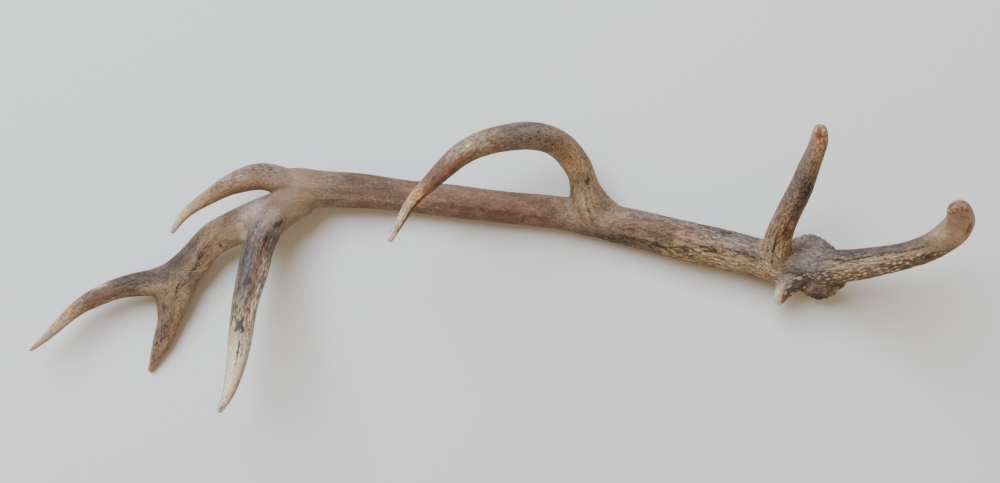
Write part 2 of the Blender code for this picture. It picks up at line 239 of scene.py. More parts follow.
trezTine = {
    "parent": "mainBeam",
    "parted": 30,
    "fillet": (14, 55),
    "stations": [
        (118, 47, 20, 66, 34), (108, 79, 35, 32, 31), (103, 95, 44, 28, 29), (96, 106, 53, 28, 28),
        (84, 118, 68, 28, 28), (65, 126, 88, 28, 28), (44, 127, 104, 28, 27), (21, 123, 118, 26, 26),
        (0, 116, 130, 25, 24), (-17, 106, 139, 21, 22), (-31, 93, 147, 19, 19), (-47, 77, 154, 15, 15),
        (-62, 60, 160, 12, 12), (-72, 42, 165, 9, 9), (-81, 26, 168, 6, 6),
    ],
    "flutes": (8, 0.02),
    "ground": [
        (35, "sand"), (65, "tan"), (105, "tan"), (130, "sand"), (165, "mauve"), (190, "sand"),
        (215, "tan"), (245, "umber"), (265, "umber"), (282, "honey"), (297, "straw"), (320, "bone"),
    ],
    "grooves": [(0, 0.25), (60, 0.3), (150, 0.25), (250, 0.2), (300, 0.4)],
    "streaks": [(60, 0.4), (180, 0.5), (230, 0.7), (290, 0.45)],
    "speckles": [(0, 0.8), (150, 0.9), (200, 1.0), (300, 0.8)],
    "polish": [(0, 0.2), (230, 0.1)],
    # The mauve band at 140, on the upper side, is partly painted cool light.
    "bands": [
        ("tan", 32, 0, 25, 0.7, 0.6), ("straw", 12, -0.45, 24, 0.18, 0.6),
        ("mauve", 140, 0.75, 55, 0.4, 0.7), ("slate", 156, 0.3, 22, 0.45, 0.5),
        ("bone", 214, 0.4, 24, 0.7, 0.8),
    ],
    "dark": [
        (140, -0.2, 36, 0.6, 0.55), (117, -0.5, 16, 0.3, 0.4), (49, 0.15, 8, 0.25, 1.1),
        (20, -0.2, 20, 0.1, 0.9), (26, 0.15, 16, 0.08, 0.8), (260, 0.05, 3, 0.12, 1.0),
        (297, -0.85, 22, 0.14, 1.0),
    ],
    "red": [
        (187, -0.2, 22, 0.5, 0.6), (240, -0.45, 36, 0.4, 0.8), (248, 0.6, 24, 0.3, 0.6),
        (297, -0.8, 26, 0.25, 1.6), (277, -0.2, 16, 0.5, 0.6),
    ],
}
crownFrontTine = {
    "parent": "mainBeam",
    "parted": 46,
    "fillet": (32, 46),
    "filletShare": 0.12,
    "stations": [
        (-193, 82, 35, 30, 28), (-221, 90, 45, 28, 24), (-237, 87, 52, 26, 22), (-253, 80, 60, 21, 20),
        (-269, 69, 70, 16, 15), (-285, 56.5, 80, 11, 11), (-295, 45, 87, 8, 8), (-301, 34, 92, 5, 5),
    ],
    "ground": [(30, "sand"), (100, "tan"), (140, "bone")],
    "grooves": [(0, 0.1), (60, 0.35), (120, 0.1)],
    "streaks": [(0, 0.1), (45, 0.2), (75, 0.5), (120, 0.3)],
    "speckles": [(0, 0.9), (60, 0.6), (120, 0.2)],
    "polish": [(0, 0.6), (40, 0.5), (100, 0.6)],
    "bands": [("ash", 48, 0.55, 45, 0.6, 0.5)],
    "dark": [(30, 0.5, 34, 0.5, 0.5), (79, 0.34, 20, 0.25, 0.6)],
    "red": [(122, 0.3, 24, 0.2, 0.7), (80, 0.3, 30, 0.5, 0.85), (45, 0.6, 30, 0.4, 0.8)],
}
crownInnerTine = {
    "parent": "mainBeam",
    "parted": 68,
    "fillet": (30, 34),
    "filletShift": (16, 0, -6),
    "filletShare": 0.9,
    "stations": [
        (-185, 71, 36, 46, 28), (-211, 44, 46, 33, 28), (-222, 20, 56, 31, 28), (-226, -5, 68, 31, 28),
        (-231, -34, 82, 27, 26), (-233, -63, 95, 24, 24), (-235, -91, 107, 20, 20),
        (-239, -115, 116, 14, 15), (-243, -128, 121, 10, 10), (-248, -138, 125, 6, 6),
    ],
    "flutes": (7, 0.02),
    "ground": [
        (35, "sand"), (50, "mauve"), (70, "slate"), (110, "slate"), (128, "mauve"), (145, "tan"),
        (165, "bone"), (188, "ivory"),
    ],
    "grooves": [(0, 0.1), (45, 0.2), (60, 0.5), (138, 0.5), (168, 0.15), (248, 0.05)],
    "streaks": [(0, 0.1), (40, 0.2), (60, 1), (158, 0.9), (192, 0.3), (248, 0.15)],
    "speckles": [(240, 0.5)],
    "polish": [(0, 0.75), (45, 0.6), (75, 0.3), (150, 0.7)],
    # The olive band at 12 and the umber band at 18 are painted shade in the crease where the rear branch
    # meets this tine's root.
    "bands": [
        ("olive", 12, 0.3, 20, 1.0, 0.7), ("umber", 18, 0.45, 13, 0.5, 1.0),
        ("ivory", 128, -0.95, 52, 0.42, 1.0), ("tan", 122, 1, 45, 0.2, 0.7),
        ("honey", 66, 0.42, 10, 0.08, 0.4), ("umber", 95, -0.4, 45, 0.3, 0.8),
        ("tan", 205, 0.95, 45, 0.25, 0.6), ("tan", 205, -0.95, 45, 0.2, 0.5),
    ],
    # The dark marks at 26 and 62 are painted shade along that crease.
    "dark": [
        (38, -0.6, 11, 0.2, 1.1), (26, 0.62, 14, 0.1, 0.6), (62, 0.6, 26, 0.14, 0.7),
        (66, -0.44, 34, 0.3, 0.9), (102, 0.6, 60, 0.12, 0.8), (122, 0.1, 40, 0.1, 0.8),
        (142, 0.35, 20, 0.5, 0.6), (114, 0.12, 4, 0.2, 2.2), (111, -0.04, 3.5, 0.16, 2.0),
        (159, -0.05, 5, 0.2, 2.0), (155, 0.2, 3.5, 0.16, 1.7), (163, -0.3, 4, 0.16, 1.6),
        (163, 0.25, 3.5, 0.16, 1.8), (152, -0.24, 3.5, 0.14, 1.5), (150, 0.6, 7, 0.14, 1.2),
        (185, -0.15, 18, 0.08, 1.4),
    ],
    "red": [
        (68, 0.4, 14, 0.08, 0.7), (91, -0.35, 40, 0.1, 0.7), (126, -0.6, 6, 0.14, 0.8),
        (143, -0.52, 5, 0.14, 0.8), (159, -0.62, 6, 0.14, 0.9), (183, -0.5, 6, 0.1, 0.8),
        (244, 0, 10, 0.9, 0.7),
    ],
}
crownRearBranch = {
    "parent": "mainBeam",
    "parted": 73,
    "fillet": (55, 60),
    "filletShare": 0.3,
    "stations": [
        (-196, 61, 35, 34, 27), (-225, 50.5, 33, 36, 24), (-249, 39, 31, 37, 23),
        (-274, 26.5, 28, 35, 22), (-291, 9, 25, 35, 22), (-310, -10, 23, 38, 22), (-330, -17, 24, 31, 21),
        (-350, -20, 25, 26, 20), (-371, -24, 27, 22, 19), (-391, -32, 29, 20, 17),
        (-411, -43, 31, 16, 15), (-430, -60, 34, 12, 12), (-445, -75, 36, 8, 8), (-459, -87, 38, 4, 4),
    ],
    "flutes": (8, 0.02),
    # The ash stops at 26 and 40 paint the root paler where it lies in the light beside the crease:
    # painted light.
    "ground": [
        (12, "umber"), (26, "ash"), (40, "ash"), (60, "sand"), (84, "tan"), (110, "sand"), (150, "umber"),
        (180, "walnut"), (235, "umber"), (252, "tan"), (275, "bone"), (325, "tan"),
    ],
    "grooves": [(0, 0.1), (100, 0.4), (240, 0.4), (290, 0.1)],
    "streaks": [(0, 0.05), (60, 0.1), (95, 0.6), (240, 0.8), (290, 0.3)],
    "speckles": [(250, 0.4)],
    "polish": [(0, 0.75), (70, 0.6), (110, 0.3), (260, 0.5)],
    "bands": [
        ("tan", 48, -0.2, 22, 0.7, 0.6), ("tan", 130, -0.88, 45, 0.3, 0.75),
        ("tan", 215, -0.92, 50, 0.3, 0.75), ("tan", 158, -0.5, 18, 0.3, 0.6),
        ("walnut", 150, 0.35, 34, 0.42, 0.9), ("walnut", 135, 0.8, 60, 0.4, 0.8),
    ],
    "dark": [
        (100, 0.7, 24, 0.3, 0.6), (130, 0.75, 30, 0.35, 0.7), (160, 0.65, 30, 0.4, 0.8),
        (190, 0.5, 34, 0.5, 0.7), (222, 0.42, 30, 0.45, 0.6), (105, -0.36, 12, 0.25, 1.0),
        (122, -0.55, 16, 0.18, 1.2), (138, -0.75, 16, 0.16, 1.2), (78, -0.7, 12, 0.3, 0.7),
        (306, 0.3, 8, 0.4, 0.7),
    ],
    "red": [(82, -0.2, 26, 0.5, 0.25), (228, 0.0, 30, 0.6, 0.7), (268, 0.3, 26, 0.5, 0.45)],
    "pale": [(218, 0.9, 12, 0.35, 0.6), (244, 0.6, 16, 0.4, 0.4)],
}
crownRearSnag = {
    "parent": "crownRearBranch",
    "parted": 42,
    "fillet": (28, 45),
    "stations": [
        (-312, -8, 23, 50, 21), (-318, -34, 19, 40, 20), (-323, -58, 14, 26, 18), (-331, -79, 10, 20, 15),
        (-338, -95, 7, 13, 12), (-345, -110, 3, 6, 7),
    ],
    "ground": [(80, "sand"), (110, "tan")],
    "grooves": [(0, 0.2), (60, 0.4), (110, 0.1)],
    "streaks": [(0, 0.4), (60, 0.7), (110, 0.4)],
    "speckles": [(0, 0.4), (90, 0.8)],
    "polish": [(0, 0.2), (90, 0.5)],
    "bands": [("walnut", 0, 0.5, 14, 0.8, 0.85), ("tan", 55, -0.75, 45, 0.4, 0.7)],
    "dark": [
        (10, -0.45, 24, 0.2, 0.8), (36, 0.45, 24, 0.3, 0.7), (60, 0.1, 26, 0.6, 0.75),
        (84, 0.35, 18, 0.4, 0.7),
    ],
    "red": [(60, 0.0, 30, 0.6, 0.65), (99, -0.1, 14, 0.6, 0.8)],
}
branches = dict(mainBeam=mainBeam, browTine=browTine, baseSnag=baseSnag, bezTine=bezTine,
                trezTine=trezTine, crownFrontTine=crownFrontTine, crownInnerTine=crownInnerTine,
                crownRearBranch=crownRearBranch, crownRearSnag=crownRearSnag)
nodeOf = {
    "mainBeam": ("main_beam", "beam_bone"),
    "browTine": ("brow_tine", "pearled_bone"),
    "bezTine": ("bez_tine", "tine_bone"),
    "trezTine": ("trez_tine", "tine_bone"),
    "crownFrontTine": ("crown_front_tine", "tine_bone"),
    "crownInnerTine": ("crown_inner_tine", "ivory_bone"),
    "crownRearBranch": ("crown_rear_branch", "beam_bone"),
    "crownRearSnag": ("crown_rear_snag", "beam_bone"),
}
burr = {
    "middle": (344, -2, 28),
    "faces": (-0.74, -0.3, 0.6),     # along the beam
    "profile": [(20, 22), (25, 14), (30, 7), (32, 2), (31, -3), (27, -6), (18, -8), (9, -8.4)],
    "beads": 38,
    "beadRing": 32.3,
    "beadRadius": 3.5,
    "beadSizes": (0.75, 1.15),
    "beadScatter": (0.9, 0.9, 1.6),
    "reach": 46,                     # within this of its middle the beads are kept crisp
    "fade": 10,
    "softened": 0.02,                # the share of the forks' smoothing that the beads take
    "seed": 7,
}
# x, y, z and radius of small swellings: two on the burr's rim, one in a fork of the crown
swellings = [(367, -17, 42, 7), (342, 27, 30, 5), (-239, 27, 38, 6)]
skinning = {
    "ringSpacing": 2.5,
    "ringSides": 64,
    "fluteTurns": (60, 45),          # along a branch for one radian of the flutes' winding
    "fluteShares": (0.6, 0.4),
    "tipRings": (0.35, 0.7, 0.95),   # rings that round off a tip, as shares of its radius
    "voxel": 1.14,
    "fillet": 6.0,
    "even": 12,                      # rounds of evening out over the branches' shares
    "mixing": 6.0,                   # how far two branches mix at a fork
    "flare": 25,                     # how far along a tine its root may flare
    "pearlReach": 4,                 # how far off their own tube pearls fade
    "sectionReach": 60,              # a parting is looked for within this of its place
}


def splineThrough(knots, values, at):
    # a natural cubic spline through the values, read at the given distances
    gaps = np.diff(knots)
    slopes = np.diff(values, axis=0) / gaps[:, None]
    system = np.eye(len(knots))
    turn = np.zeros_like(values)
    for i in range(1, len(knots) - 1):
        system[i, i - 1 : i + 2] = gaps[i - 1], 2 * (gaps[i - 1] + gaps[i]), gaps[i]
        turn[i] = 6 * (slopes[i] - slopes[i - 1])
    bend = np.linalg.solve(system, turn)
    k = np.clip(np.searchsorted(knots, at) - 1, 0, len(knots) - 2)
    gap = gaps[k][:, None]
    after = (at - knots[k])[:, None]
    before = gap - after
    curve = (bend[k] * before**3 + bend[k + 1] * after**3) / (6 * gap)
    start = (values[k] / gap - bend[k] * gap / 6) * before
    end = (values[k + 1] / gap - bend[k + 1] * gap / 6) * after
    return curve + start + end


def unit(vectors):
    return vectors / np.linalg.norm(vectors, axis=-1, keepdims=True)


def traceLine(branch):
    # the branch's smooth centre-line, its sizes, and directions carried along it without twist
    stations = np.array(branch["stations"], float)
    steps = np.linalg.norm(np.diff(stations[:, :3], axis=0), axis=1)
    knots = np.concatenate([[0.0], np.cumsum(steps)])
    along = np.linspace(0, knots[-1], round(knots[-1] / skinning["ringSpacing"]) + 1)
    values = splineThrough(knots, stations, along)
    tangents = unit(np.gradient(values[:, :3], axis=0))
    side = np.cross(tangents[0], (0, 0, 1))
    sides = []
    for tangent in tangents:
        side = unit(side - tangent * (side @ tangent))
        sides.append(side)
    sides = np.array(sides)
    return {
        "along": along,
        "points": values[:, :3],
        "halves": values[:, 3:] / 2,
        "tangents": tangents,
        "sides": sides,
        "overs": np.cross(sides, tangents),
    }


lines = {name: traceLine(branch) for name, branch in branches.items()}


def placeAlong(name, distance):
    line = lines[name]
    at = int(np.argmin(abs(line["along"] - distance)))
    return Vector(line["points"][at]) * mm, Vector(line["tangents"][at])


def skinRings(bm, rings, first, last):
    rows = [[bm.verts.new(Vector(p) * mm) for p in ring] for ring in rings]
    for low, high in zip(rows, rows[1:]):
        for i in range(len(low)):
            j = (i + 1) % len(low)
            bm.faces.new((low[i], low[j], high[j], high[i]))
    for row, point in ((rows[0], first), (rows[-1], last)):
        pole = bm.verts.new(Vector(point) * mm)
        for i in range(len(row)):
            bm.faces.new((row[i], row[(i + 1) % len(row)], pole))


def addTube(bm, name):
    # a softly fluted tube of elliptical section, rounded at the tip
    line = lines[name]
    count, depth = branches[name].get("flutes", (0, 0))
    broadTurn, fineTurn = skinning["fluteTurns"]
    broadShare, fineShare = skinning["fluteShares"]
    angles = np.linspace(0, math.tau, skinning["ringSides"], endpoint=False)
    rings = []
    for i, distance in enumerate(line["along"]):
        broad = np.cos(count * angles + distance / broadTurn)
        fine = np.cos((count - 3) * angles - distance / fineTurn)
        swell = 1 + depth * (broadShare * broad + fineShare * fine)
        across = line["halves"][i, 0] * np.cos(angles) * swell
        through = line["halves"][i, 1] * np.sin(angles) * swell
        ring = line["points"][i] + np.outer(across, line["sides"][i])
        rings.append(ring + np.outer(through, line["overs"][i]))
    end = line["points"][-1]
    radius = line["halves"][-1, 0]
    tip = rings[-1] - end
    for lift in skinning["tipRings"]:
        middle = end + line["tangents"][-1] * radius * lift
        rings.append(middle + tip * math.sqrt(1 - lift**2))
    skinRings(bm, rings, line["points"][0], end + line["tangents"][-1] * radius)


def burrAxes():
    facing = Vector(burr["faces"]).normalized()
    level = facing.cross(Vector((0, 0, 1))).normalized()
    return facing, level, facing.cross(level)


def addCollar(bm):
    # the burr's flared collar and domed cast face, turned round its axis
    facing, level, steep = burrAxes()
    angles = np.linspace(0, math.tau, skinning["ringSides"], endpoint=False)
    outward = [level * math.cos(a) + steep * math.sin(a) for a in angles]
    axis = [Vector(burr["middle"]) + facing * height for _, height in burr["profile"]]
    rings = [[middle + out * radius for out in outward]
             for middle, (radius, _) in zip(axis, burr["profile"])]
    skinRings(bm, rings, axis[0], axis[-1])


def addNode(tree, kind, inputs=None, **settings):
    # a node with its settings, each named input wired to a socket or set to a value
    node = tree.nodes.new(kind)
    for name, value in settings.items():
        setattr(node, name, value)
    for name, value in (inputs or {}).items():
        if isinstance(value, bpy.types.NodeSocket):
            tree.links.new(value, node.inputs[name])
        else:
            node.inputs[name].default_value = value
    return node


def sums(tree, operation, *values, clamp=False):
    # one Math node: its inputs are sockets or numbers
    wires = dict(enumerate(values))
    node = addNode(tree, "ShaderNodeMath", wires, operation=operation, use_clamp=clamp)
    return node.outputs[0]


def between(tree, value, low, high, start=0.0, end=1.0):
    # a smooth step from start to end as the value goes from low to high
    wires = {"Value": value, "From Min": low, "From Max": high, "To Min": start, "To Max": end}
    node = addNode(tree, "ShaderNodeMapRange", wires, interpolation_type="SMOOTHSTEP")
    return node.outputs["Result"]


def sumsOf(tree):
    # a tree's sums in short: add, take away, multiply, the greater, a smooth step
    def short(operation):
        return lambda *values, **options: sums(tree, operation, *values, **options)

    def step(*values):
        return between(tree, *values)

    return *(short(kind) for kind in ("ADD", "SUBTRACT", "MULTIPLY", "MAXIMUM")), step


def newTree(kind, name, inputs, outputs):
    # a tree with its named inputs and outputs, and its group input and output nodes
    tree = bpy.data.node_groups.new(name, kind + "NodeTree")
    for way, sockets in (("OUTPUT", outputs), ("INPUT", inputs)):
        for label, socket in sockets.items():
            tree.interface.new_socket(label, in_out=way, socket_type="NodeSocket" + socket)
    return tree, tree.nodes.new("NodeGroupInput").outputs, tree.nodes.new("NodeGroupOutput")


def closeTree(tree, output, geometry, material):
    # every tree ends in real geometry with its material
    whole = addNode(tree, "GeometryNodeRealizeInstances", {"Geometry": geometry})
    finish = {"Geometry": whole.outputs[0], "Material": material}
    done = addNode(tree, "GeometryNodeSetMaterial", finish)
    tree.links.new(done.outputs[0], output.inputs[0])


def runTree(obj, tree, values):
    # adds the tree as a modifier, with its inputs set by their identifiers
    modifier = obj.modifiers.new(tree.name, "NODES")
    modifier.node_group = tree
    for item in tree.interface.items_tree:
        if item.in_out == "INPUT" and item.name in values:
            modifier[item.identifier] = values[item.name]


def plainMesh(obj):
    # the object's mesh with its modifiers applied, in place of the object
    graph = bpy.context.evaluated_depsgraph_get()
    mesh = bpy.data.meshes.new_from_object(obj.evaluated_get(graph))
    bpy.data.objects.remove(obj)
    return mesh


def place(name, mesh):
    obj = bpy.data.objects.new(name, mesh)
    bpy.context.collection.objects.link(obj)
    return obj


def growBurrBeads():
    # a ring of beads of uneven size round the burr's rim, joined to what comes in
    tree, given, output = newTree("Geometry", "burrBeads", {
        "Geometry": "Geometry", "Bead Count": "Int", "Ring Radius": "Float",
        "Bead Radius": "Float", "Middle": "Vector", "Turn": "Rotation", "Seed": "Int",
        "Material": "Material",
    }, {"Geometry": "Geometry"})
    smallest, largest = burr["beadSizes"]
    scatter = burr["beadScatter"]
    ring = addNode(tree, "GeometryNodeMeshCircle",
                   {"Vertices": given["Bead Count"], "Radius": given["Ring Radius"]})
    offset = addNode(tree, "FunctionNodeRandomValue",
                     {"Seed": given["Seed"], 0: [-reach for reach in scatter], 1: scatter},
                     data_type="FLOAT_VECTOR")
    scattered = addNode(tree, "GeometryNodeSetPosition",
                        {"Geometry": ring.outputs[0], "Offset": offset.outputs[0]})
    bead = addNode(tree, "GeometryNodeMeshIcoSphere",
                   {"Radius": given["Bead Radius"], "Subdivisions": 3})
    size = addNode(tree, "FunctionNodeRandomValue",
                   {"Seed": given["Seed"], 2: smallest, 3: largest}, data_type="FLOAT")
    beads = addNode(tree, "GeometryNodeInstanceOnPoints",
                    {"Points": scattered.outputs[0], "Instance": bead.outputs[0],
                     "Scale": size.outputs[1]})
    placed = addNode(tree, "GeometryNodeTransform",
                     {"Geometry": beads.outputs[0], "Translation": given["Middle"],
                      "Rotation": given["Turn"], "Scale": (mm, mm, mm)})
    joined = tree.nodes.new("GeometryNodeJoinGeometry")
    tree.links.new(placed.outputs[0], joined.inputs[0])
    tree.links.new(given["Geometry"], joined.inputs[0])
    closeTree(tree, output, joined.outputs[0], given["Material"])
    return tree


def pointsOf(mesh):
    points = np.empty(len(mesh.vertices) * 3)
    mesh.vertices.foreach_get("co", points)
    return points.reshape(-1, 3)


def filletWeights(points):
    # how strongly each point is smoothed: fully at a fork, fading round it
    weights = np.zeros(len(points))
    for name, branch in branches.items():
        if "fillet" in branch:
            distance, reach = branch["fillet"]
            middle = np.array(placeAlong(name, distance)[0])
            middle += np.array(branch.get("filletShift", (0, 0, 0))) * mm
            away = np.linalg.norm(points - middle, axis=1) / (reach * mm)
            near = np.clip(2 - 2 * away, 0, 1)
            share = branch.get("filletShare", 1.0)
            weights = np.maximum(weights, near * near * (3 - 2 * near) * share)
    fromBurr = np.linalg.norm(points - np.array(burr["middle"]) * mm, axis=1) / mm
    clear = (fromBurr - burr["reach"] + burr["fade"]) / burr["fade"]
    return weights * np.clip(clear, burr["softened"], 1)


def growSkin():
    # every branch, the collar and its beads as one closed skin with rounded forks
    bm = bmesh.new()
    for name in branches:
        addTube(bm, name)
    addCollar(bm)
    for *middle, radius in swellings:
        there = Matrix.Translation(Vector(middle) * mm)
        bmesh.ops.create_icosphere(bm, subdivisions=3, radius=radius * mm, matrix=there)
    bmesh.ops.recalc_face_normals(bm, faces=bm.faces)
    mesh = bpy.data.meshes.new("rough")
    bm.to_mesh(mesh)
    bm.free()
    rough = place("rough", mesh)
    facing = burrAxes()[0]
    runTree(rough, growBurrBeads(), {
        "Bead Count": burr["beads"],
        "Ring Radius": float(burr["beadRing"]),
        "Bead Radius": burr["beadRadius"],
        "Middle": [c * mm for c in burr["middle"]],
        "Turn": list(facing.to_track_quat("Z", "Y").to_euler()),
        "Seed": burr["seed"],
    })
    remesh = rough.modifiers.new("one skin", "REMESH")
    remesh.mode = "VOXEL"
    remesh.voxel_size = skinning["voxel"] * mm
    skin = place("skin", plainMesh(rough))
    weights = filletWeights(pointsOf(skin.data))
    forks = skin.vertex_groups.new(name="forks")
    for index in np.flatnonzero(weights > 0.01):
        forks.add([int(index)], float(weights[index]), "REPLACE")
    fillet = skin.modifiers.new("fillets", "SMOOTH")
    fillet.vertex_group = "forks"
    fillet.factor = 0.5
    fillet.iterations = round((2 * skinning["fillet"] / skinning["voxel"]) ** 2)
    even = skin.modifiers.new("even", "SMOOTH")
    even.factor = 0.5
    even.iterations = 2
    return plainMesh(skin)


def ramp(stops, at):
    # numbers or palette colours blended between their stops along a branch
    places = [stop[0] for stop in stops]
    if isinstance(stops[0][1], str):
        tones = np.array([palette[stop[1]] for stop in stops])
        return np.stack([np.interp(at, places, tones[:, i]) for i in range(3)], axis=1)
    return np.interp(at, places, [stop[1] for stop in stops])


def readBranch(name, points):
    # where each point lies on a branch: along it, across it, and how far off its tube
    line = lines[name]
    nearest = np.empty(len(points), int)
    batch = 20000
    for start in range(0, len(points), batch):
        some = slice(start, start + batch)
        apart = (line["points"] ** 2).sum(1) - 2 * points[some] @ line["points"].T
        nearest[some] = apart.argmin(axis=1)
    tangents, sides = line["tangents"][nearest], line["sides"][nearest]
    offset = points - line["points"][nearest]
    lengthwise = (offset * tangents).sum(1)
    half = skinning["ringSpacing"]
    along = line["along"][nearest] + np.clip(lengthwise, -half, half)
    u = (offset * sides).sum(1)
    v = (offset * line["overs"][nearest]).sum(1)
    halves = line["halves"][nearest]
    radius = halves.mean(axis=1)
    shell = np.hypot(u / halves[:, 0], v / halves[:, 1])
    past = np.maximum(abs(lengthwise) - half, 0)
    away = np.hypot((shell - 1) * radius, past)
    rooted = np.exp(-((along / skinning["flare"]) ** 2))
    flare = np.maximum(np.hypot(u, v) - radius, 0) * rooted
    radial = unit(offset - tangents * lengthwise[:, None] + 1e-9)
    rightward = unit(np.cross(tangents, (0, 0, 1)) + sides * 1e-3)
    upward = np.cross(rightward, tangents)
    return {
        "along": along,
        "u": u * radius / (radius + flare),      # the grain runs out over a flared root
        "v": v * radius / (radius + flare),
        "grain": along - flare,
        "away": away,
        "side": (radial * rightward).sum(1),
        "shown": np.clip((radial * upward).sum(1) * 1.5 + 1.6, 0, 1),      # not underneath
        "onTube": np.exp(-((away / skinning["pearlReach"]) ** 2)),
    }


def matchFlow():
    # turns and shifts each branch's own coordinates so that the grain runs on through its fork
    flows = {"mainBeam": (0.0, np.zeros(3), 1.0)}
    for name, branch in branches.items():
        if "parent" not in branch:
            continue
        parent, line = lines[branch["parent"]], lines[name]
        turnP, shiftP, wayP = flows[branch["parent"]]
        fork = int(np.argmin(abs(line["along"] - branch["fillet"][0])))
        meet = line["points"][fork]
        at = int(np.argmin(np.linalg.norm(parent["points"] - meet, axis=1)))
        way = 1.0 if parent["tangents"][at] @ line["tangents"][fork] > 0 else -1.0
        side = math.cos(turnP) * parent["sides"][at] + math.sin(turnP) * parent["overs"][at]
        old = Vector(parent["tangents"][at] * wayP)
        new = Vector(line["tangents"][fork] * way * wayP)
        target = np.array(old.rotation_difference(new) @ Vector(side))
        turn = math.atan2(target @ line["overs"][fork], target @ line["sides"][fork])
        offset = meet - parent["points"][at]
        u, v = offset @ parent["sides"][at], offset @ parent["overs"][at]
        there = np.array([math.cos(turnP) * u + math.sin(turnP) * v,
                          math.cos(turnP) * v - math.sin(turnP) * u,
                          wayP * parent["along"][at]]) + shiftP
        shift = there - np.array([0, 0, way * wayP * line["along"][fork]])
        flows[name] = (turn, shift, way * wayP)
    return flows


def evenOut(mesh, values, rounds):
    # each point takes the mean of its neighbours, several times over
    edges = np.empty(len(mesh.edges) * 2, int)
    mesh.edges.foreach_get("vertices", edges)
    a, b = edges.reshape(-1, 2).T
    count = len(mesh.vertices)
    degree = np.bincount(a, minlength=count) + np.bincount(b, minlength=count)
    for _ in range(rounds):
        total = np.stack([np.bincount(a, column[b], count) + np.bincount(b, column[a], count)
                          for column in values.T], axis=1)
        values = 0.5 * values + 0.5 * total / degree[:, None]
    return values


softEnds = 2      # the power with which marks end
bluntEnds = 4     # the power with which tints and pearls end


def spot(reading, mark, ends, where):
    # how strongly a band or a mark covers each point
    along, side, length, width, strength = mark
    lengthwise = np.exp(-(abs((reading["along"] - along) / length) ** ends))
    across = np.exp(-(((reading["side"] - side) / width) ** 2))
    return strength * lengthwise * across * reading[where]


def strongest(reading, marks, ends, where):
    # the strongest of a branch's marks of one kind at each point
    covers = [spot(reading, mark, ends, where) for mark in marks]
    return np.max(covers, axis=0) if covers else np.zeros(len(reading["along"]))


fieldNames = ("ground", "flow", "relief", "marks", "tone")


def layOut(mesh):
    # the fields that the relief and the finish read, one value at each point
    points = pointsOf(mesh) / mm
    readings = {name: readBranch(name, points) for name in branches}
    shares = np.stack([
        np.exp(-((readings[name]["away"] / branch.get("mixing", skinning["mixing"])) ** 2))
        for name, branch in branches.items()], axis=1) + 1e-12
    shares = evenOut(mesh, shares / shares.sum(1, keepdims=True), skinning["even"])
    flows = matchFlow()
    fields = {key: np.zeros((len(points), 3)) for key in fieldNames}
    for i, (name, branch) in enumerate(branches.items()):
        reading = readings[name]
        turn, shift, way = flows[name]
        c, s = math.cos(turn), math.sin(turn)
        u, v = reading["u"], reading["v"]
        flow = np.stack([c * u + s * v, c * v - s * u, way * reading["grain"]], axis=1) + shift
        ground = ramp(branch["ground"], reading["along"])
        for colour, *band in branch["bands"]:
            cover = spot(reading, band, bluntEnds, "shown")[:, None]
            ground = ground * (1 - cover) + palette[colour] * cover
        marks = [strongest(reading, branch.get(kind, ()), softEnds, "shown")
                 for kind in ("dark", "red", "pale")]
        grooves, *tone = (ramp(branch[key], reading["along"])
                          for key in ("grooves", "streaks", "speckles", "polish"))
        pearls = strongest(reading, branch.get("pearls", ()), bluntEnds, "onTube")
        carved = [grooves, pearls, np.zeros(len(points))]
        threes = (np.stack(three, axis=1) for three in (carved, marks, tone))
        share = shares[:, i : i + 1]
        for key, value in zip(fieldNames, (ground, flow, *threes)):
            fields[key] += share * value
    return fields


def storeField(mesh, name, values):
    attribute = mesh.attributes.new(name, "FLOAT_VECTOR", "POINT")
    attribute.data.foreach_set("vector", values.astype(np.float32).ravel())


relief = {
    "Groove Spacing": 6.0,
    "Groove Stretch": 6.5,
    "Groove Depth": 0.8,
    "Ridge Spacing": 3.4,
    "Ridge Stretch": 3.5,
    "Ridge Height": 0.9,
    "Pearl Spacing": 3.3,
    "Pearl Stretch": 2.0,
    "Pearl Height": 0.8,
    "Swell Spacing": 26.0,
    "Swell Stretch": 2.5,
    "Swell Height": 0.8,
    "Seed": 3.0,
}


carving = {
    "grooveWidth": 0.06,          # how near its middle the noise becomes a groove
    "grooveSpan": (0.4, 0.55),    # the span of the swells over which grooves fade in
    "pearlSlope": (0.2, 0.52),    # from a pearl's top to its foot, as shares of a cell
    "pearlSpan": (0.15, 0.45),    # the span of their strength over which pearls grow
    "unevenness": 0.85,
}


def alongGrain(tree, flow, width, stretch):
    # the flow at a pattern's scale: its width across the grain, stretched along it
    across = sums(tree, "DIVIDE", 1.0, width)
    along = sums(tree, "DIVIDE", across, stretch)
    scale = addNode(tree, "ShaderNodeCombineXYZ", {"X": across, "Y": across, "Z": along})
    return addNode(tree, "ShaderNodeVectorMath", {0: flow, 1: scale.outputs[0]},
                   operation="MULTIPLY").outputs[0]


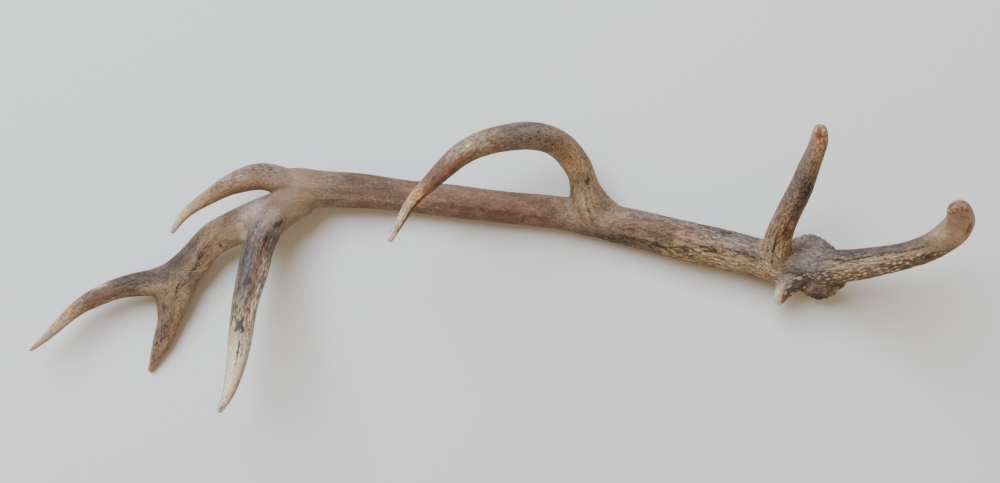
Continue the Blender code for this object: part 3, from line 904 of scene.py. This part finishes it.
def carve(tree, flow, strength, look):
    # the pattern of hollows, ridges and pearls along the grain, the same for relief and colour
    _, less, times, _, step = sumsOf(tree)

    def drawn(kind):
        return alongGrain(tree, flow, look[kind + " Spacing"], look[kind + " Stretch"])

    def noise(kind, detail):
        wires = {"Vector": drawn(kind), "W": look["Seed"], "Scale": 1.0, "Detail": detail}
        return addNode(tree, "ShaderNodeTexNoise", wires, noise_dimensions="4D").outputs[0]

    grooves, pearls, _ = addNode(tree, "ShaderNodeSeparateXYZ", {0: strength}).outputs
    winding = sums(tree, "ABSOLUTE", less(noise("Groove", 2.0), 0.5))
    channel = step(winding, 0.0, carving["grooveWidth"], 1.0, 0.0)
    swell = noise("Swell", 1.0)
    ridge = less(noise("Ridge", 2.0), 0.5)
    cells = addNode(tree, "ShaderNodeTexVoronoi", {"Vector": drawn("Pearl"), "Scale": 1.0,
                                                   "Randomness": carving["unevenness"]})
    bead = step(cells.outputs["Distance"], *carving["pearlSlope"], 1.0, 0.0)
    beaded = step(pearls, *carving["pearlSpan"])
    return {
        "swell": less(swell, 0.5),
        "hollow": times(times(channel, grooves), step(swell, *carving["grooveSpan"])),
        "ridge": times(ridge, grooves),
        "bead": times(bead, beaded),
        "beaded": beaded,
    }


def growRelief():
    # the carved pattern pushed in and out of the skin
    inputs = {"Geometry": "Geometry", **dict.fromkeys(relief, "Float"), "Material": "Material"}
    tree, given, output = newTree("Geometry", "boneRelief", inputs, {"Geometry": "Geometry"})
    add, less, times, *_ = sumsOf(tree)
    flow, strength = (addNode(tree, "GeometryNodeInputNamedAttribute", {"Name": name},
                              data_type="FLOAT_VECTOR").outputs["Attribute"]
                      for name in ("flow", "relief"))
    pattern = carve(tree, flow, strength, given)
    height = times(pattern["swell"], times(given["Swell Height"], 2.0))
    height = add(height, times(pattern["ridge"], given["Ridge Height"]))
    height = add(height, times(pattern["bead"], given["Pearl Height"]))
    height = less(height, times(pattern["hollow"], given["Groove Depth"]))
    normal = addNode(tree, "GeometryNodeInputNormal").outputs[0]
    push = addNode(tree, "ShaderNodeVectorMath", {0: normal, "Scale": times(height, mm)},
                   operation="SCALE")
    pushed = addNode(tree, "GeometryNodeSetPosition",
                     {"Geometry": given["Geometry"], "Offset": push.outputs[0]})
    closeTree(tree, output, pushed.outputs[0], given["Material"])
    return tree


def flood(start, neighbours):
    # all that is joined to the start, in the order in which it is met
    found = {start: True}
    front = [start]
    while front:
        fresh = {one: True for one in neighbours(front.pop()) if one not in found}
        found.update(fresh)
        front.extend(fresh)
    return list(found)


def sectionStrip(bm, middle, way):
    # the closed band of faces that the plane crosses, round the nearest such face
    reach = skinning["sectionReach"] * mm
    near = [f for f in bm.faces if (f.verts[0].co - middle).length < reach]
    ahead = {v: (v.co - middle).dot(way) > 0 for f in near for v in f.verts}

    def crossed(part):
        return len({ahead[v] for v in part.verts}) == 2

    def beside(face):
        return (f for edge in face.edges if crossed(edge) for f in edge.link_faces)

    start = min(filter(crossed, near), key=lambda f: (f.calc_center_median() - middle).length)
    return flood(start, beside)


def cutLoops(bm):
    # scores the skin round each branch where its solid is parted, and gives the scored edges
    loops = []
    for name, branch in branches.items():
        if "parted" in branch:
            middle, way = placeAlong(name, branch["parted"])
            faces = sectionStrip(bm, middle, way)
            edges = list(dict.fromkeys(e for f in faces for e in f.edges))
            verts = list(dict.fromkeys(v for f in faces for v in f.verts))
            cut = bmesh.ops.bisect_plane(bm, geom=faces + edges + verts, plane_co=middle,
                                         plane_no=way)
            loops += [e for e in cut["geom_cut"] if isinstance(e, bmesh.types.BMEdge)]
    return loops


def partSkin(mesh):
    # parts the skin at the forks and caps the cuts; both sides keep the whole skin's shading
    bm = bmesh.new()
    bm.from_mesh(mesh)
    loops = cutLoops(bm)
    bm.normal_update()
    whole = bm.verts.layers.float_vector.new("whole")
    for vert in bm.verts:
        vert[whole] = vert.normal
    bmesh.ops.split_edges(bm, edges=loops)
    rims = [e for e in bm.edges if e.is_boundary]
    caps = bmesh.ops.holes_fill(bm, edges=rims, sides=0)["faces"]
    bmesh.ops.recalc_face_normals(bm, faces=bm.faces)
    for cap in caps:
        cap.smooth = False
    bmesh.ops.triangulate(bm, faces=caps)
    owner = bm.verts.layers.int.new("owner")
    pastTheTip = 1e4
    for number, name in enumerate(nodeOf):
        end = placeAlong(name, pastTheTip)[0]
        if name == "mainBeam":
            end = Vector(burr["middle"]) * mm
        nearest = min(bm.verts, key=lambda v: (v.co - end).length)
        for vert in flood(nearest, lambda v: (w for edge in v.link_edges for w in edge.verts)):
            vert[owner] = number
    bm.to_mesh(mesh)
    bm.free()


def readValues(source, attribute, size, kind=float):
    values = np.empty(len(source) * size, kind)
    source.foreach_get(attribute, values)
    return values.reshape(-1, size) if size > 1 else values


def takePiece(mesh, number, name):
    # one piece of the parted skin as a mesh of its own, with its fields and its shading
    owner = readValues(mesh.attributes["owner"].data, "value", 1, np.int32)
    corners = readValues(mesh.loops, "vertex_index", 1, np.int32)
    starts = readValues(mesh.polygons, "loop_start", 1, np.int32)
    totals = readValues(mesh.polygons, "loop_total", 1, np.int32)
    smooth = readValues(mesh.polygons, "use_smooth", 1, bool)
    faceNormals = readValues(mesh.polygons, "normal", 3)
    mine = owner == number
    faces = mine[corners[starts]]
    cornersKept = np.repeat(faces, totals)
    renumber = np.cumsum(mine) - 1
    piece = bpy.data.meshes.new(name)
    piece.vertices.add(int(mine.sum()))
    piece.vertices.foreach_set("co", pointsOf(mesh)[mine].ravel())
    piece.loops.add(int(cornersKept.sum()))
    piece.loops.foreach_set("vertex_index", renumber[corners[cornersKept]].astype(np.int32))
    piece.polygons.add(int(faces.sum()))
    begins = np.concatenate([[0], np.cumsum(totals[faces])[:-1]])
    piece.polygons.foreach_set("loop_start", begins.astype(np.int32))
    piece.polygons.foreach_set("use_smooth", smooth[faces])
    piece.update(calc_edges=True)
    for field in fieldNames:
        values = readValues(mesh.attributes[field].data, "vector", 3)
        storeField(piece, field, values[mine])
    shading = readValues(mesh.attributes["whole"].data, "vector", 3)[corners]
    flat = np.repeat(~smooth, totals)
    shading[flat] = np.repeat(faceNormals, totals, axis=0)[flat]
    piece.normals_split_custom_set(shading[cornersKept])
    return piece


def makeGrain():
    # a noise drawn out along the grain, for fibres, dashes and patches
    tree, given, output = newTree(
        "Shader", "boneGrain",
        {"Flow": "Vector", "Width": "Float", "Stretch": "Float", "Detail": "Float"},
        {"Grain": "Float"})
    drawn = alongGrain(tree, given["Flow"], given["Width"], given["Stretch"])
    noise = addNode(tree, "ShaderNodeTexNoise", {"Vector": drawn, "Scale": 1.0,
                                                 "Detail": given["Detail"], "Roughness": 0.6})
    tree.links.new(noise.outputs[0], output.inputs["Grain"])
    return tree


broken = {
    "threshold": 0.6,           # of the pattern, where a faint stain begins
    "growth": 0.2,              # how far a full stain lowers it
    "edge": 0.08,
    "coverSpan": (0.02, 0.3),
    "wash": 0.3,                # the even part of a stain
}


def makeBroken():
    # a smooth cover turned into a stain that a pattern breaks up, the more the weaker it is
    tree, given, output = newTree("Shader", "brokenStain",
                                  {"Cover": "Float", "Pattern": "Float"}, {"Stain": "Float"})
    add, less, part, most, step = sumsOf(tree)
    low = less(broken["threshold"], part(given["Cover"], broken["growth"]))
    flecks = step(given["Pattern"], low, add(low, broken["edge"]))
    flecks = part(flecks, step(given["Cover"], *broken["coverSpan"]))
    stain = most(flecks, part(given["Cover"], broken["wash"]), clamp=True)
    tree.links.new(stain, output.inputs["Stain"])
    return tree


def tint(tree, below, above, cover, blend="MIX"):
    # lays one colour over another
    below, above = (colour if isinstance(colour, bpy.types.NodeSocket) else (*colour, 1)
                    for colour in (below, above))
    wires = {0: cover, 6: below, 7: above}
    node = addNode(tree, "ShaderNodeMix", wires, data_type="RGBA", blend_type=blend)
    return node.outputs[2]


# Spans are where a noise fades in, and shades are how dark and how pale it makes the ground.
agedBone = {
    "noises": {      # each with its width, its stretch along the grain, its detail and its shift
        "patch": (13.0, 2.0, 3.0, 0.0),
        "grit": (1.6, 1.8, 2.0, 40.0),
        "warmth": (5.0, 1.6, 3.0, 90.0),
        "dash": (1.8, 4.0, 2.5, 140.0),
        "specks": (2.4, 1.4, 3.0, 200.0),
    },
    "patchSpan": (0.34, 0.66),
    "patchShades": (0.7, 1.2),
    "gritSpan": (0.32, 0.68),
    "gritShades": (0.68, 1.3),
    "warmSpan": (0.35, 0.65),
    "warm": (1.1, 0.97, 0.9),
    "cool": (0.94, 1.02, 0.98),
    "calm": 0.6,                   # how far polish calms the pattern
    "spread": 0.08,                # how far streaks and speckles widen with their strength
    "dashSpan": (0.54, 0.66),
    "dash": 0.7,
    "speckSpan": (0.58, 0.68),
    "speck": 0.6,
    "eaten": (0.35, 0.3, 0.35),    # the shares of dash, grit and specks in a mark's edge
    "mark": 0.9,
    # how far the painted shade darkens the grooves, the ground between pearls and the low ground between
    # ridges
    "hollow": 0.65,
    "pearlShade": 0.6,
    "lowSpan": (-0.14, -0.02),
    "low": 0.35,
    "beadSpan": (0.3, 0.75),
    "bead": 0.8,
    "roughness": 0.7,
    "gloss": 0.2,
    "recessRoughness": 0.15,
    "heights": {"grit": 0.4, "fibre": 0.45, "blots": 0.2, "bead": 1.2, "hollow": 0.8},
}


def makeAgedBone():
    # the colour, roughness and fine height of weathered antler, from the fields on the skin; the colour
    # also holds painted shade in hollows and creases
    look = agedBone
    tree, given, output = newTree(
        "Shader", "agedBone",
        {"Ground": "Color", **dict.fromkeys(("Flow", "Relief", "Marks", "Tone"), "Vector")},
        {"Color": "Color", "Roughness": "Float", "Height": "Float"})
    add, less, part, most, step = sumsOf(tree)
    grainGroup, brokenGroup = makeGrain(), makeBroken()

    def grain(width, stretch, detail, shift):
        flow = addNode(tree, "ShaderNodeVectorMath", {0: given["Flow"], 1: (shift,) * 3})
        wires = {"Flow": flow.outputs[0], "Width": width, "Stretch": stretch, "Detail": detail}
        return addNode(tree, "ShaderNodeGroup", wires, node_tree=grainGroup).outputs[0]

    def split(vector):
        return addNode(tree, "ShaderNodeSeparateXYZ", {0: vector}).outputs

    streaks, speckles, polish = split(given["Tone"])
    dark, red, pale = split(given["Marks"])
    pattern = carve(tree, given["Flow"], given["Relief"], relief)
    patch, grit, warmth, dash, specks = (grain(*noise) for noise in look["noises"].values())

    plain = less(1.0, part(polish, look["calm"]))
    level = part(step(patch, *look["patchSpan"], *look["patchShades"]),
                 step(grit, *look["gritSpan"], *look["gritShades"]))
    level = add(1.0, part(less(level, 1.0), plain))
    colour = addNode(tree, "ShaderNodeVectorMath", {0: given["Ground"], "Scale": level},
                     operation="SCALE").outputs[0]
    hue = tint(tree, look["cool"], look["warm"], step(warmth, *look["warmSpan"]))
    colour = tint(tree, colour, hue, 1.0, "MULTIPLY")

    fibre = step(add(dash, part(streaks, look["spread"])), *look["dashSpan"])
    fibre = part(fibre, streaks)
    colour = tint(tree, colour, palette["sootAndShade"], part(fibre, look["dash"]))
    blots = step(add(specks, part(speckles, look["spread"])), *look["speckSpan"])
    blots = part(blots, speckles)
    colour = tint(tree, colour, palette["walnut"], part(blots, look["speck"]))

    dashes, grits, speckings = map(part, (dash, grit, specks), look["eaten"])
    eaten = add(add(dashes, grits), speckings)
    for mark, stain in ((red, "rust"), (dark, "sootAndShade"), (pale, "ivory")):
        cover = addNode(tree, "ShaderNodeGroup", {"Cover": mark, "Pattern": eaten},
                        node_tree=brokenGroup).outputs[0]
        colour = tint(tree, colour, palette[stain], part(cover, look["mark"]))

    # Painted shade: the grooves, the ground between the pearls and the low ground between ridges are
    # darkened towards the soot colour, in place of the shade in these hollows.
    pearlShade = part(pattern["beaded"], less(1.0, pattern["bead"]))
    low = step(pattern["ridge"], *look["lowSpan"], 1.0, 0.0)
    recessShade = most(part(pattern["hollow"], look["hollow"]), part(pearlShade, look["pearlShade"]))
    recessShade = most(recessShade, part(low, look["low"]))
    colour = tint(tree, colour, palette["sootAndShade"], recessShade)
    worn = step(pattern["bead"], *look["beadSpan"])
    colour = tint(tree, colour, palette["tan"], part(worn, look["bead"]))
    tree.links.new(colour, output.inputs["Color"])

    dull = less(look["roughness"], part(polish, look["gloss"]))
    dull = add(dull, part(recessShade, look["recessRoughness"]), clamp=True)
    tree.links.new(dull, output.inputs["Roughness"])
    heights = look["heights"]
    height = less(part(grit, heights["grit"]), part(fibre, heights["fibre"]))
    height = part(less(height, part(blots, heights["blots"])), plain)
    height = add(height, part(pattern["bead"], heights["bead"]))
    height = less(height, part(pattern["hollow"], heights["hollow"]))
    tree.links.new(height, output.inputs["Height"])
    return tree


def makeBone(slot, group):
    # one of the record's slots: the aged bone group inside a material of its own
    material = bpy.data.materials.new(slot)
    material.use_nodes = True
    tree = material.node_tree
    wires = {}
    for field in fieldNames:
        read = addNode(tree, "ShaderNodeAttribute", attribute_name=field)
        wires[field.capitalize()] = read.outputs["Color" if field == "ground" else "Vector"]
    surface = addNode(tree, "ShaderNodeGroup", wires, node_tree=group).outputs
    bump = addNode(tree, "ShaderNodeBump", {"Height": surface["Height"], "Distance": 0.8 * mm,
                                            "Strength": 0.8})
    shader = tree.nodes["Principled BSDF"]
    tree.links.new(surface["Color"], shader.inputs["Base Color"])
    tree.links.new(surface["Roughness"], shader.inputs["Roughness"])
    tree.links.new(bump.outputs["Normal"], shader.inputs["Normal"])
    shader.inputs["IOR"].default_value = 1.5
    shader.inputs["Specular IOR Level"].default_value = 0.28
    return material


stage = {
    "reach": 6.0,
    "paper": (222, 222, 222),
    "window": {"place": (-1.4, 2.1, 3.2), "size": 3.3, "watts": 288, "tone": (0.86, 1.01, 1.15)},
    "room": (1.0, 0.74, 0.46),
    "roomStrength": 0.56,
}


def makeStage():
    # a pale floor, a broad cool light from the upper left and a warm room
    floor = bpy.data.meshes.new("floor")
    reach = stage["reach"]
    corners = [(-reach, -reach, 0), (reach, -reach, 0), (reach, reach, 0), (-reach, reach, 0)]
    floor.from_pydata(corners, [], [(0, 1, 2, 3)])
    paper = bpy.data.materials.new("floor_paper")
    paper.use_nodes = True
    shader = paper.node_tree.nodes["Principled BSDF"]
    shader.inputs["Base Color"].default_value = (*lightTone(*stage["paper"]), 1)
    shader.inputs["Roughness"].default_value = 0.9
    shader.inputs["Specular IOR Level"].default_value = 0.2
    floor.materials.append(paper)
    place("floor", floor)
    window = stage["window"]
    light = bpy.data.lights.new("window", "AREA")
    light.shape = "DISK"
    light.size = window["size"]
    light.energy = window["watts"]
    light.color = window["tone"]
    lamp = place("window", light)
    lamp.location = window["place"]
    lamp.rotation_euler = (-lamp.location).to_track_quat("-Z", "Y").to_euler()
    world = bpy.data.worlds.new("room")
    world.use_nodes = True
    sky = world.node_tree.nodes["Background"]
    sky.inputs["Color"].default_value = (*stage["room"], 1)
    sky.inputs["Strength"].default_value = stage["roomStrength"]
    bpy.context.scene.world = world


def makeCamera():
    # straight above the antler, as the photograph was taken
    view = {"place": (21, 24, 1450), "focal": 49.7, "sensor": 36.0}
    data = bpy.data.cameras.new("camera")
    data.sensor_width = view["sensor"]
    data.lens = view["focal"]
    data.clip_end = 30
    camera = place("camera", data)
    camera.location = [c * mm for c in view["place"]]
    bpy.context.scene.camera = camera


makeCamera()
makeStage()
print("camera and stage set")

bone = makeAgedBone()
materials = {slot: makeBone(slot, bone) for slot in sorted({s for _, s in nodeOf.values()})}
skin = growSkin()
print("skin grown:", len(skin.vertices), "points")
for field, values in layOut(skin).items():
    storeField(skin, field, values)
print("fields laid out")
whole = place("whole", skin)
runTree(whole, growRelief(), {**relief, "Material": materials["beam_bone"]})
skin = plainMesh(whole)
hair = 1e-5      # metres, to stay clear of the sides of the box
inside = np.clip(pointsOf(skin), np.array(cadBox[0]) + hair, np.array(cadBox[1]) - hair)
skin.vertices.foreach_set("co", inside.ravel())
skin.shade_smooth()
print("relief pushed")
partSkin(skin)
for number, (name, (node, slot)) in enumerate(nodeOf.items()):
    piece = place(node + "_dressed", takePiece(skin, number, node + "_dressed"))
    piece.data.materials.append(materials[slot])
    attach(piece, "root")
    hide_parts(node)
    print(node, "dressed:", len(piece.data.polygons), "faces")
bpy.data.meshes.remove(skin)
